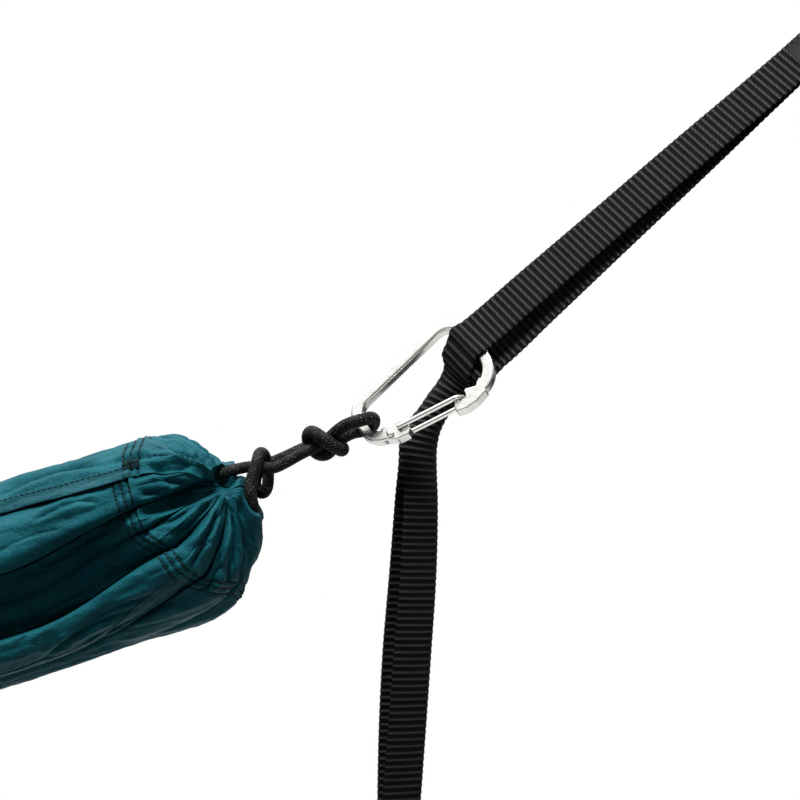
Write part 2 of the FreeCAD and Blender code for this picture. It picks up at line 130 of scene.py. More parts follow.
def run_along(points):
    """Distance along a line of points, or along each column of a grid."""
    gaps = np.linalg.norm(np.diff(points, axis=0), axis=-1)
    return np.concatenate([np.zeros_like(gaps[:1]), np.cumsum(gaps, axis=0)])


def placed(name, data):
    """A new object in the scene."""
    obj = bpy.data.objects.new(name, data)
    bpy.context.scene.collection.objects.link(obj)
    return obj


def new_mesh(name, verts, quads, material, flip=False):
    """A smooth mesh object from points in millimetres and an array of quads."""
    mesh = bpy.data.meshes.new(name)
    quads = quads[:, ::-1] if flip else quads
    mesh.vertices.add(len(verts))
    mesh.vertices.foreach_set("co", (np.asarray(verts) * MM).astype(np.float32).ravel())
    mesh.loops.add(quads.size)
    mesh.loops.foreach_set("vertex_index", quads.astype(np.int32).ravel())
    mesh.polygons.add(len(quads))
    mesh.polygons.foreach_set("loop_start", np.arange(0, quads.size, 4, dtype=np.int32))
    mesh.polygons.foreach_set("use_smooth", np.ones(len(quads), bool))
    mesh.update(calc_edges=True)
    mesh.validate()
    mesh.materials.append(material)
    return placed(name, mesh)


def grid_quads(rows, columns, ring=False):
    """The faces of a grid, closed round its columns if it is a ring."""
    i, j = np.meshgrid(np.arange(rows - 1), np.arange(columns if ring else columns - 1), indexing="ij")
    k = (j + 1) % columns
    here, there = i * columns, (i + 1) * columns
    return np.stack([here + j, here + k, there + k, there + j], -1).reshape(-1, 4)


UV_SCALE = 0.01  # from millimetres


def grid_mesh(name, points, material, ring=False, flip=False, uv=None):
    """A mesh from a grid of points; uv holds one pair for each point, in millimetres."""
    rows, columns = points.shape[:2]
    quads = grid_quads(rows, columns, ring)
    obj = new_mesh(name, points.reshape(-1, 3), quads, material, flip)
    if uv is not None:
        layer = obj.data.uv_layers.new(name="cloth")
        order = quads[:, ::-1] if flip else quads
        layer.data.foreach_set("uv", (uv.reshape(-1, 2)[order.ravel()] * UV_SCALE).astype(np.float32).ravel())
    return obj


def point_values(obj, name, values):
    """A number for each point, for the material to read."""
    attribute = obj.data.attributes.new(name, "FLOAT", "POINT")
    attribute.data.foreach_set("value", np.asarray(values, np.float32).ravel())


def at_end(side, points):
    return points if side == "right_" else mirrored(points)


def end_of(side, points, flip=False):
    """Points and face direction for one end."""
    return at_end(side, points), flip != (side == "left_")


def fill(tree, node, inputs):
    """Give a node its inputs, each a value or another node's output."""
    for name, value in inputs.items():
        if isinstance(value, bpy.types.NodeSocket):
            tree.links.new(value, node.inputs[name])
        else:
            node.inputs[name].default_value = value


def new_node(tree, kind, inputs={}, **settings):
    made = tree.nodes.new(kind)
    for name, value in settings.items():
        setattr(made, name, value)
    fill(tree, made, inputs)
    return made


def new_ramp(tree, value, stops):
    """Colours that follow a value, through stops of a position and a colour."""
    made = new_node(tree, "ShaderNodeValToRGB", {0: value})
    elements = made.color_ramp.elements
    for k, (position, colour) in enumerate(stops):
        element = elements[k] if k < 2 else elements.new(position)
        element.position, element.color = position, (*colour, 1)
    return made.outputs[0]


# ---- camera, light and stage ----

LENS, SENSOR_WIDTH = 126.9, 36.0
CAMERA_PLACE = (-0.26, -1.5, -0.224)  # looks level along +Y at the right end
LIGHTS = (  # name, place, target, size, power, colour
    ("key", (-0.45, -0.85, 1.95), (-0.4, 0, -0.25), 0.7, 82, (1.0, 0.99, 0.97)),
    ("room", (-2.0, 0.5, 2.3), (-1.7, 0, -0.3), 2.2, 55, (1.0, 1.0, 1.0)),
    ("fill", (1.4, -1.5, 0.2), (-0.3, 0, -0.25), 1.0, 0.8, (0.95, 0.98, 1.0)),
    ("rim", (0.4, 1.3, 1.0), (-0.3, 0, -0.2), 0.8, 8, (1.0, 1.0, 1.0)),
)
WALLS = (  # the studio's walls: height from 0 below to 1 above, and their tone; the two ends first
    (0.0, 0.14), (1.0, 1.0), (0.30, 0.26), (0.44, 0.03), (0.54, 0.30), (0.70, 0.85),
)
WALLS_AS_LIGHT, WALLS_IN_STEEL = 0.14, 0.85  # they are brighter in the steel than as light
FLOOR_TONE, FLOOR_ROUGHNESS = 0.80, 0.9
FLOOR_BESIDE, FLOOR_FRONT, FLOOR_BACK, FLOOR_BELOW = 1.2, -1.4, 1.9, 0.02


def place_camera():
    scene = bpy.context.scene
    camera = bpy.data.cameras.new("camera")
    camera.lens, camera.sensor_width = LENS, SENSOR_WIDTH
    camera_object = placed("camera", camera)
    camera_object.location = CAMERA_PLACE
    camera_object.rotation_euler = (math.pi / 2, 0, 0)
    scene.camera = camera_object
    scene.view_settings.view_transform = "Standard"


def place_lights():
    for name, place, target, size, power, colour in LIGHTS:
        light = bpy.data.lights.new(name, "AREA")
        light.energy, light.size, light.color = power, size, colour
        lamp = placed(name, light)
        lamp.location = place
        way = Vector(target) - Vector(place)
        lamp.rotation_euler = way.to_track_quat("-Z", "Y").to_euler()


def make_walls():
    """Grey walls as light and in the steel, and plain white behind the object."""
    world = bpy.data.worlds.new("studio")
    world.use_nodes = True
    tree = world.node_tree
    tree.nodes.clear()
    path = new_node(tree, "ShaderNodeLightPath").outputs
    place = new_node(tree, "ShaderNodeTexCoord").outputs["Generated"]
    height = new_node(tree, "ShaderNodeSeparateXYZ", {0: place}).outputs["Z"]
    span = new_node(tree, "ShaderNodeMapRange", {"Value": height, "From Min": -1, "From Max": 1})
    tones = new_ramp(tree, span.outputs[0], [(share, (tone,) * 3) for share, tone in WALLS])
    strength = new_node(tree, "ShaderNodeMapRange", {
        "Value": path["Is Glossy Ray"], "To Min": WALLS_AS_LIGHT, "To Max": WALLS_IN_STEEL,
    })
    lit = new_node(tree, "ShaderNodeBackground", {0: tones, 1: strength.outputs[0]}).outputs[0]
    shown = new_node(tree, "ShaderNodeBackground", {0: (1, 1, 1, 1)}).outputs[0]
    mix = new_node(tree, "ShaderNodeMixShader", {0: path["Is Camera Ray"], 1: lit, 2: shown})
    new_node(tree, "ShaderNodeOutputWorld", {0: mix.outputs[0]})
    bpy.context.scene.world = world


def lay_floor():
    low, high = cad_box
    mesh = bpy.data.meshes.new("floor")
    x0, x1, z = low[0] - FLOOR_BESIDE, high[0] + FLOOR_BESIDE, low[2] - FLOOR_BELOW
    corners = [(x0, FLOOR_FRONT, z), (x1, FLOOR_FRONT, z), (x1, FLOOR_BACK, z), (x0, FLOOR_BACK, z)]
    mesh.from_pydata(corners, [], [(0, 1, 2, 3)])
    floor = placed("floor", mesh)
    plain = bpy.data.materials.new("floor")
    plain.use_nodes = True
    shader = plain.node_tree.nodes["Principled BSDF"]
    colour = (FLOOR_TONE, FLOOR_TONE, FLOOR_TONE, 1)
    fill(plain.node_tree, shader, {"Base Color": colour, "Roughness": FLOOR_ROUGHNESS})
    mesh.materials.append(plain)
    floor.visible_diffuse = False  # a pale floor, but no light thrown up into the folds below


place_camera()
place_lights()
make_walls()
lay_floor()


# ---- materials ----

class Finish:
    """A material with a Principled shader, and short ways to add nodes to it."""

    def __init__(self, name, roughness, metallic=0.0, sheen=0.0, specular=0.5):
        self.material = bpy.data.materials.new(name)
        self.material.use_nodes = True
        self.tree = self.material.node_tree
        self.shader = self.tree.nodes["Principled BSDF"]
        fill(self.tree, self.shader, {
            "Roughness": roughness, "Metallic": metallic,
            "Sheen Weight": sheen, "Specular IOR Level": specular,
        })
        self.place = self.node("ShaderNodeTexCoord")

    def node(self, kind, inputs={}, **settings):
        return new_node(self.tree, kind, inputs, **settings)

    def stretched(self, scale, kind="Object"):
        return self.node("ShaderNodeMapping", {"Scale": scale, "Vector": self.place.outputs[kind]}).outputs[0]

    def noise(self, scale, detail=3.0, roughness=0.55, where=None):
        where = where or self.place.outputs["Object"]
        inputs = {"Scale": scale, "Detail": detail, "Roughness": roughness, "Vector": where}
        return self.node("ShaderNodeTexNoise", inputs).outputs[0]

    def wave(self, scale, where, direction="X", distortion=0.0):
        inputs = {"Scale": scale, "Distortion": distortion, "Vector": where}
        return self.node("ShaderNodeTexWave", inputs, wave_type="BANDS", bands_direction=direction).outputs[1]

    def maths(self, operation, a, b):
        return self.node("ShaderNodeMath", {0: a, 1: b}, operation=operation).outputs[0]

    def mixed(self, a, share_a, b, share_b):
        return self.maths("ADD", self.maths("MULTIPLY", a, share_a), self.maths("MULTIPLY", b, share_b))

    def ramp(self, value, stops):
        return new_ramp(self.tree, value, stops)

    def bump(self, height, strength, distance, after=None):
        inputs = {"Strength": strength, "Distance": distance, "Height": height}
        if after is not None:
            inputs["Normal"] = after
        return self.node("ShaderNodeBump", inputs).outputs[0]

    def attribute(self, name):
        return self.node("ShaderNodeAttribute", attribute_name=name).outputs["Fac"]

    def set(self, colour=None, roughness=None, normal=None):
        given = {"Base Color": colour, "Roughness": roughness, "Normal": normal}
        fill(self.tree, self.shader, {name: value for name, value in given.items() if value is not None})
        return self.material


def cloth_finish(name, dark, mid, light):
    """Crinkled plain-weave nylon: fine grain, slow fading and a soft sheen."""
    f = Finish(name, 0.42, sheen=0.04, specular=0.42)
    f.shader.inputs["Sheen Roughness"].default_value = 0.35
    f.shader.inputs["Sheen Tint"].default_value = (0.25, 0.8, 0.9, 1)
    f.shader.inputs["Specular Tint"].default_value = (0.16, 0.58, 0.72, 1)
    grain = f.noise(1300, 4, 0.7)
    slow = f.noise(38, 3, 0.6)
    level = f.mixed(grain, 0.62, slow, 0.38)
    colour = f.ramp(level, [(0.36, dark), (0.5, mid), (0.66, light)])
    weave = f.stretched((1, 1, 1), "UV")
    threads = f.maths("MULTIPLY", f.wave(28, weave, "X", 0.6), f.wave(28, weave, "Y", 0.6))
    crinkle = f.noise(620, 5, 0.7)
    normal = f.bump(crinkle, 0.8, 0.0009, f.bump(threads, 0.25, 0.00015))
    return f.set(colour, f.ramp(grain, [(0.3, (0.48,) * 3), (0.7, (0.66,) * 3)]), normal)


def webbing_finish():
    """Black polyester webbing: diagonal yarns, with a painted highlight along the ribs' crests."""
    f = Finish("webbing", 0.55, sheen=0.01, specular=0.05)
    across = f.stretched((1, 1, 1), "UV")
    twill = f.node("ShaderNodeMapping", {"Rotation": (0, 0, math.radians(38)), "Vector": across})
    yarns = f.wave(42, twill.outputs[0], "X", 1.2)
    crest = f.attribute("crest")
    speck = f.noise(1500, 3, 0.7)
    # Painted highlight: the ribs' crests turn grey, broken up by the diagonal yarns and specks.
    top = f.ramp(crest, [(0.62, (0, 0, 0)), (0.98, (1, 1, 1))])
    fine = f.ramp(yarns, [(0.35, (0.25, 0.25, 0.25)), (0.8, (1, 1, 1))])
    rib_highlight = f.maths("MULTIPLY", f.maths("MULTIPLY", top, fine), f.maths("ADD", speck, 0.4))
    colour = f.ramp(rib_highlight, [
        (0.06, (0.0016, 0.0018, 0.0018)), (0.45, (0.009, 0.0095, 0.0093)), (0.8, (0.12, 0.123, 0.121)),
    ])
    normal = f.bump(yarns, 0.7, 0.00030, f.bump(speck, 0.3, 0.0002))
    return f.set(colour, None, normal)


def cord_finish():
    """Braided cord: dark yarns, some strands paler than others, and a painted highlight on each strand's
    crest.
    """
    f = Finish("cord", 0.5, sheen=0.01, specular=0.08)
    crest, shade = f.attribute("crest"), f.attribute("shade")
    speck = f.noise(2200, 3, 0.7)
    # Painted highlight: each strand is paler at its crest, more so on the strands that are paler at random.
    level = f.mixed(f.maths("MULTIPLY", crest, shade), 0.8, speck, 0.22)
    colour = f.ramp(level, [
        (0.22, (0.0022, 0.0024, 0.0024)), (0.5, (0.013, 0.014, 0.014)), (0.86, (0.17, 0.17, 0.167)),
    ])
    return f.set(colour, None, f.bump(speck, 0.5, 0.00025))


def thread_finish(name, dark, light):
    """Sewing thread: matt, with a fibre's grain."""
    f = Finish(name, 0.55, sheen=0.02, specular=0.15)
    fibre = f.noise(2600, 3, 0.7)
    return f.set(f.ramp(fibre, [(0.3, dark), (0.7, light)]), None, f.bump(fibre, 0.5, 0.0002))


def steel_finish(name, roughness, wear):
    """Polished steel with faint tumbling marks and scratches."""
    f = Finish(name, roughness, metallic=1.0)
    marks = f.noise(240, 5, 0.65)
    scratches = f.noise(90, 5, 0.8, f.stretched((1, 6, 14)))
    level = f.mixed(marks, 0.5, scratches, 0.5)
    colour = f.ramp(level, [
        (0.25, (0.60, 0.59, 0.57)), (0.5, (0.70, 0.69, 0.67)), (0.75, (0.78, 0.77, 0.75)),
    ])
    rough = f.ramp(level, [(0.3, (roughness * 0.85,) * 3), (0.7, (roughness * 1.25,) * 3)])
    normal = f.bump(scratches, wear, 0.00004, f.bump(marks, wear, 0.00005))
    return f.set(colour, rough, normal)


CLOTH = cloth_finish("cloth", (0.001, 0.040, 0.054), (0.004, 0.080, 0.104), (0.012, 0.140, 0.172))
CLOTH_SEAM = cloth_finish("cloth_seam", (0.003, 0.036, 0.050), (0.008, 0.066, 0.087), (0.026, 0.115, 0.142))
WEBBING = webbing_finish()
CORD = cord_finish()
THREAD = thread_finish("thread", (0.002, 0.012, 0.016), (0.008, 0.035, 0.043))
WEB_THREAD = thread_finish("web_thread", (0.006, 0.006, 0.006), (0.03, 0.03, 0.03))
STEEL = steel_finish("steel", 0.22, 0.10)
STEEL_WIRE = steel_finish("steel_wire", 0.18, 0.08)

for side in SIDES:
    for piece, finish in (("carabiner_frame", STEEL), ("gate_rivet", STEEL), ("carabiner_gate", STEEL_WIRE)):
        for material_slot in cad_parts[side + piece].material_slots:
            material_slot.material = finish


# ---- the carabiner's frame, as the other pieces meet it ----

ACROSS = vec(0, 1, 0)
STRAP_SLOPE, PITCH = math.radians(42), math.radians(35)
STRAP = vec(math.cos(STRAP_SLOPE), 0, math.sin(STRAP_SLOPE))
SPINE = vec(math.cos(PITCH), 0, math.sin(PITCH))
RISE = vec(-math.sin(PITCH), 0, math.cos(PITCH)) * math.cos(PITCH) + ACROSS * math.sin(PITCH)
FACE = np.cross(SPINE, RISE)
STRAP_REACH = 293.5
BASKET_ALONG, BASKET_BELOW = 76.5, 24.0  # where the strap crosses the carabiner's basket bar
CARABINER = STRAP * -STRAP_REACH - SPINE * BASKET_ALONG + RISE * BASKET_BELOW


def on_carabiner(along, up, out):
    """A point in the carabiner's own frame."""
    return CARABINER + SPINE * along + RISE * up + FACE * out


# ---- the sling cords ----

CORD_RADIUS = 3.05


def smooth_line(name, route):
    """Points along the NURBS curve whose control points are the route."""
    curve = bpy.data.curves.new(name, "CURVE")
    curve.dimensions = "3D"
    spline = curve.splines.new("NURBS")
    spline.points.add(len(route) - 1)
    for point, place in zip(spline.points, route):
        point.co = (*(np.asarray(place) * MM), 1)
    spline.order_u = 3
    spline.use_endpoint_u = True
    spline.resolution_u = 24
    holder = placed(name, curve)
    mesh = bpy.data.meshes.new_from_object(holder)
    line = np.array([v.co for v in mesh.vertices]) / MM
    bpy.data.objects.remove(holder)
    bpy.data.meshes.remove(mesh)
    return line


def even(line, step):
    """The same line with points a step apart."""
    run = run_along(line)
    keep = np.concatenate([[True], np.diff(run) > 1e-6])
    at = np.linspace(0, run[-1], max(2, int(run[-1] / step)))
    return np.stack([np.interp(at, run[keep], line[keep, k]) for k in range(3)], 1), at


def carried_frames(line):
    """Two normals along a line, turned as little as possible."""
    way = unit(np.gradient(line, axis=0))
    first = unit(np.cross(way[0], vec(0.3, 0.9, 0.2)))
    sides = [first]
    for t in way[1:]:
        side = sides[-1] - t * (sides[-1] @ t)
        sides.append(side / np.linalg.norm(side))
    sides = np.array(sides)
    return sides, np.cross(way, sides)


def rings_round(line, radius, angle):
    """Rings of points round a line, at the angles given."""
    a, b = (frame_side[:, None] for frame_side in carried_frames(line))
    return line[:, None] + radius * (np.cos(angle)[None, :, None] * a + np.sin(angle)[None, :, None] * b)


BRAID_STRANDS = 11  # of each direction
BRAID_LEAD = 17.0  # length in which a strand goes once round
BRAID_STEP = {"right_": 0.28, "left_": 0.5}  # the camera sees only the right end
BRAID_AROUND = {"right_": 96, "left_": 60}
STRANDS_BACK = 31  # what tells the strands of the other direction apart
PATH_STEP = 4


def braided(name, line, swell, side):
    """A cord's braided cover round a line; swell is its radius at each share of the line."""
    line, run = even(line, BRAID_STEP[side])
    count = BRAID_AROUND[side]
    angle = np.arange(count) * 2 * math.pi / count
    turn = BRAID_STRANDS * (angle[None, :] / (2 * math.pi) + run[:, None] / BRAID_LEAD)
    back = BRAID_STRANDS * (angle[None, :] / (2 * math.pi) - run[:, None] / BRAID_LEAD)
    over = (np.floor(turn) + np.floor(back)) % 2 == 0
    across, along = np.where(over, turn % 1, back % 1), np.where(over, back % 1, turn % 1)
    crest = np.sin(math.pi * across) ** 0.8 * (0.25 + 0.75 * np.sin(math.pi * along))
    strand = np.where(over, np.floor(turn) % BRAID_STRANDS, STRANDS_BACK + np.floor(back) % BRAID_STRANDS)
    shade = 0.72 + 0.28 * lattice(strand.astype(np.int64), np.zeros_like(strand, np.int64), 5)
    radius = swell(run / run[-1])[:, None] * (0.94 + 0.085 * crest)
    points, flip = end_of(side, rings_round(line, radius[..., None], angle), flip=True)
    obj = grid_mesh(name, points, CORD, ring=True, flip=flip)
    # The cord's material paints a highlight where crest is high.
    point_values(obj, "crest", crest)
    point_values(obj, "shade", shade)
    return obj, at_end(side, line)[::PATH_STEP]


LEAD_TOP = vec(-354.7, -2.0, -262.0)
SLING = [  # from the hem's upper exit, through both knots, round the carabiner, back, and into the hem again
    (-363.0, -9.0, -266.5), (-354.0, -11.5, -262.6), (-346.5, -9.6, -260.5), (-339.5, -5.6, -259.2),
    (-333.5, -3.2, -259.4), (-327.6, -3.2, -260.7), (-320.5, -3.9, -257.2), (-313.0, -3.6, -252.8),
    (-306.8, -1.6, -249.9), (-301.8, -0.4, -247.6), (-297.2, -1.6, -243.9), (-293.4, -4.2, -240.4),
    (-288.6, -7.8, -237.2), (-284.0, -10.0, -235.6), (-279.2, -10.8, -234.2), (-275.2, -8.2, -233.2),
    (-273.6, -1.6, -234.6), (-274.6, 4.0, -238.2),
    (-279.0, 5.0, -240.4), (-284.5, 3.4, -240.9), (-290.2, 3.6, -243.6), (-295.0, 3.0, -247.3),
    (-297.4, 3.2, -251.8), (-300.6, 3.2, -253.4), (-304.4, 4.4, -252.6), (-308.2, 5.2, -248.4),
    (-309.4, 4.2, -243.6), (-307.8, -0.4, -240.6), (-304.2, -6.6, -241.8), (-299.6, -9.6, -245.2),
    (-295.0, -8.4, -248.6), (-290.3, -2.6, -251.2), (-290.8, 4.6, -248.8), (-295.4, 9.6, -246.0),
    (-301.4, 10.2, -246.2), (-307.2, 6.8, -248.4), (-313.2, 3.0, -250.8), (-320.0, 2.6, -253.9),
    (-326.9, 3.2, -256.6), (-331.6, 6.2, -258.6), (-335.6, 8.0, -261.6), (-337.6, 5.8, -267.4),
    (-336.2, 3.2, -272.6), (-332.6, 0.4, -274.0), (-330.4, 0.8, -270.6), (-330.2, 4.6, -264.6),
    (-330.6, 5.4, -258.4), (-332.4, 1.2, -252.4), (-334.6, -5.6, -251.8), (-335.6, -9.2, -256.6),
    (-337.4, -11.2, -262.6), (-339.0, -13.0, -268.4), (-338.6, -14.0, -274.6), (-337.2, -13.0, -280.8),
    (-337.8, -8.0, -286.6), (-345.0, -3.0, -291.0), (-357.0, -1.5, -291.5), (-366.0, -2.0, -285.0),
]


def sling_swell(share):
    """The cord's radius: fuller where it is bent hard in the outer knot and at the carabiner."""
    fuller = 0.45 * smooth(share, 0.17, 0.24) * (1 - smooth(share, 0.60, 0.66))
    return CORD_RADIUS + fuller + 0.1 * smooth(share, 0.66, 0.7)


SLING_NODES = ("cord_bight", "outer_knot", "cord_pair", "inner_knot", "cord_leads", "drawn_cord")

for side in SIDES:
    line = smooth_line(side + "sling_line", SLING)
    sling, path = braided(side + "sling_cord", line, sling_swell, side)
    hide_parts(*[side + n for n in SLING_NODES])
    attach(sling, "hammock")
    tuple(at_end(side, LEAD_TOP) * MM)


# ---- webbing ----

WEB_WIDTH, WEB_THICKNESS = 25.0, 1.6
RIB_PITCH = 3.6
RIBS_LAG = 26.0  # how far from a bend the ribs start to turn
RIB_VALLEY, RIB_HEIGHT = 0.48, 0.54  # shares of the web's half thickness
SELVEDGE_WAVE, SELVEDGE_INSET = 0.45, 0.15
GAP_SEWN = WEB_THICKNESS / 2  # half of the distance between the webs' middles
GAP_AT_BAR = 4.15
TAIL_TOP = vec(-247.7, 9.0, -249.5)
TAIL_PIVOT = TAIL_TOP - vec(0, 0, 3.5)
TAIL = (  # drop below the pivot, drift along X, twist in degrees, half gap between the webs, curl in degrees
    (3.5, -0.4, 42, 2.6, 38), (25, -2.4, 40, 3.6, 18), (60, -4.6, 37, 4.8, 10), (110, -8.2, 34, 5.4, 12),
    (155, -11.0, 33, 4.2, 8), (185, -12.6, 32, 2.4, 3), (202, -13.4, 32, GAP_SEWN, 0),
    (212, -13.8, 32, GAP_SEWN, 0), (230, -14.4, 32, 2.6, 3), (270, -15.4, 32, 5.0, 9),
    (320, -16.2, 32, 5.2, 9), (365, -16.8, 32, 2.8, 3), (382, -17.0, 32, GAP_SEWN, 0),
    (392, -17.0, 32, GAP_SEWN, 0), (410, -17.2, 32, 2.6, 3), (450, -17.4, 32, 5.0, 9),
    (500, -17.6, 32, 5.2, 9), (545, -17.8, 32, 2.8, 3), (562, -17.8, 32, GAP_SEWN, 0),
    (596, -17.8, 32, GAP_SEWN, 0),
)


def strap_line():
    """Centre (3), twist, half gap, shift and curl at each station, down the strap and its tail."""
    basket = STRAP * -STRAP_REACH
    rows = [
        (basket + STRAP * 242.5, -35, GAP_SEWN, 0, 0), (basket + STRAP * 225.5, -35, GAP_SEWN, 0, 0),
        (basket + STRAP * 205, -35, 1.3, 0.5, 0), (basket + STRAP * 150, -35, 2.6, 3, 0),
        (basket + STRAP * 90, -35, 3.3, 5.5, 0), (basket + STRAP * 40, -35, 3.9, 8, 0),
        (basket + STRAP * 4, -35, GAP_AT_BAR, 9.5, 0), (basket - SPINE * 5.8, -35, GAP_AT_BAR, 9.5, 0),
        (on_carabiner(66.5, -24.3, 0), -35, 0.95, 6, 0), (on_carabiner(62, -24.8, -3.5), -34, 1.0, 4, 0),
        (on_carabiner(58.5, -26.6, -10), -27, 1.5, 2, 28),
        (on_carabiner(45.0, -28.6, -16) - vec(3, 0, 0), -12, 1.6, 0, 95),
        (on_carabiner(31.5, -33.6, -18), 15, 2.0, 0, 86), (TAIL_TOP, 40, 2.6, 0, 44),
    ]
    for drop, drift, twist, gap, curl in TAIL:
        rows.append((TAIL_PIVOT + vec(drift, 0, -drop), twist, gap, 0, curl))
    return np.array([[*r[0], *r[1:]] for r in rows])


def edge_direction(way, twist):
    """The direction of a web's width where it runs along way, turned from level by twist."""
    level = unit(np.stack([-way[:, 2], 0 * way[:, 0], way[:, 0]], 1))
    across = level * np.cos(twist)[:, None] + ACROSS * np.sin(twist)[:, None]
    return unit(across - way * (across * way).sum(1, keepdims=True))


def web_section():
    """Samples round a web's section: share of the half width, and side of its thickness."""
    nearly = math.pi / 2 * 0.94  # closer together towards the selvedges
    x = np.sin(np.linspace(-1, 1, 25) * nearly) / math.sin(nearly)
    face = np.sqrt(np.maximum(0, 1 - np.abs(x) ** 14))
    top = np.stack([x, face], 1)
    low = np.stack([x[::-1], -face[::-1]], 1)
    return np.concatenate([top, low])


def band(name, centre, across, out, run, side, curl=None, lean=0.0):
    """Ribbed webbing along a line, with its width along across and its faces along out."""
    section = web_section()
    x, z = section[:, 0], section[:, 1]
    drift = 0.10 * noise(run / 9.0, run * 0, 3)
    phase = (run + drift)[:, None] / RIB_PITCH + lean * x[None, :]
    rib = np.abs(np.cos(math.pi * phase)) ** 0.8
    yarn = noise(run[:, None] / 0.8 + 0 * x, 6 * x[None, :] + 0 * phase, 9)
    half = WEB_WIDTH / 2 - SELVEDGE_WAVE * (1 - rib) - SELVEDGE_INSET
    height = (WEB_THICKNESS / 2) * (RIB_VALLEY + RIB_HEIGHT * rib) + 0.04 * yarn
    wide, high = half * x[None, :], height * z[None, :]
    if curl is None:
        curl = np.zeros(len(run))
    bend = np.maximum(np.radians(curl), 1e-4)[:, None] / WEB_WIDTH * 2
    angle = wide * bend
    wide, high = (1 / bend + high) * np.sin(angle), (1 / bend + high) * np.cos(angle) - 1 / bend
    points = centre[:, None] + across[:, None] * wide[..., None] + out[:, None] * high[..., None]
    points, flip = end_of(side, points)
    uv = np.stack(np.broadcast_arrays(run[:, None], half * x[None, :]), -1)
    obj = grid_mesh(name, points, WEBBING, ring=True, flip=flip, uv=uv)
    # The webbing's material paints a highlight where crest is high.
    point_values(obj, "crest", np.broadcast_to(rib, points.shape[:2]))
    return obj


def strap_frames(step):
    """The strap's stations, its width and face directions and runs there, and the rows' own runs."""
    rows = strap_line()
    run = run_along(rows[:, :3])
    at = np.arange(0, run[-1], step)
    line = hermite(run, rows, at)
    way = unit(np.gradient(line[:, :3], axis=0))
    reach = int(RIBS_LAG / step)
    padded = np.concatenate([way[:1].repeat(reach, 0), way, way[-1:].repeat(reach, 0)])
    total = np.concatenate([np.zeros((1, 3)), np.cumsum(padded, axis=0)])
    across = edge_direction(unit(total[2 * reach + 1:] - total[:-2 * reach - 1]), np.radians(line[:, 3]))
    return line, across, unit(np.cross(way, across)), at, run


TACK_ZIGZAGS, TACK_WIDTH, TACK_THREAD, TACK_STEP, TACK_AROUND = 13, 20.5, 0.34, 1.4, 6
THREAD_RISE = 0.12  # of a bartack's thread over the web's face


def bartack(name, centre, across, out, length, side, faces, body):
    """Dense zigzag of thread over a sewn stretch, on the given faces."""
    verts, quads = [], []
    way = np.cross(across, out)
    angle = np.arange(TACK_AROUND) * 2 * math.pi / TACK_AROUND
    turns = 2 * TACK_ZIGZAGS
    for face in faces:
        zigzag = [centre + out * face + across * (TACK_WIDTH * ((k % 2) - 0.5))
                  + way * (length * (k / (turns - 1) - 0.5)) for k in range(turns)]
        line, _ = even(np.array(zigzag), TACK_STEP)
        quads.append(grid_quads(len(line), TACK_AROUND, True) + sum(len(v) for v in verts))
        verts.append(rings_round(line, TACK_THREAD, angle).reshape(-1, 3))
    verts, flip = end_of(side, np.concatenate(verts), flip=True)
    obj = new_mesh(name, verts, np.concatenate(quads), WEB_THREAD, flip)
    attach(obj, body)
    return obj


WEB_STEP = {"right_": 0.55, "left_": 0.9}
TACKS = (  # name, the rows of the strap's line that it lies between, and whether it is on the tail
    ("strap_tack_top", 0, 1, False), ("tail_tack_top", 20, 21, True),
    ("tail_tack_middle", 26, 27, True), ("tail_tack_end", 32, 33, True),
)
TACK_LENGTH = 11.0

for side in SIDES:
    line, across, out, run, knots = strap_frames(WEB_STEP[side])
    for face, name in ((1, "front"), (-1, "rear")):
        shift = across * (face * line[:, 5] / 2)[:, None]
        centre = line[:, :3] + out * (face * line[:, 4])[:, None] - shift
        obj = band(f"{side}{name}_web", centre, across, out, run, side, line[:, 6], lean=0.05)
        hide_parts(f"{side}strap_{name}_web", f"{side}tail_{name}_web")
        pivot = at_end(side, TAIL_PIVOT)
        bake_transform(obj)

    reach = GAP_SEWN + WEB_THICKNESS / 2 + THREAD_RISE
    for label, first, last, on_tail in TACKS:
        i = int(np.argmin(np.abs(run - (knots[first] + knots[last]) / 2)))
        body = side + "tail" if on_tail else "hammock"
        bartack(side + label, line[i, :3], across[i], out[i], TACK_LENGTH, side,
                              (reach, -reach), body)
    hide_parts(side + "strap_bartacks")
    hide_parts(side + "tail_bartacks")


# ---- tree loops ----

EYE_RADIUS, EYE_THROAT, EYE_NECK, SWING_GAP = 15.0, 34.0, 42.0, 9.0
EYE_TACK_REACH, EYE_TACK_LENGTH = 39.0, 5.0


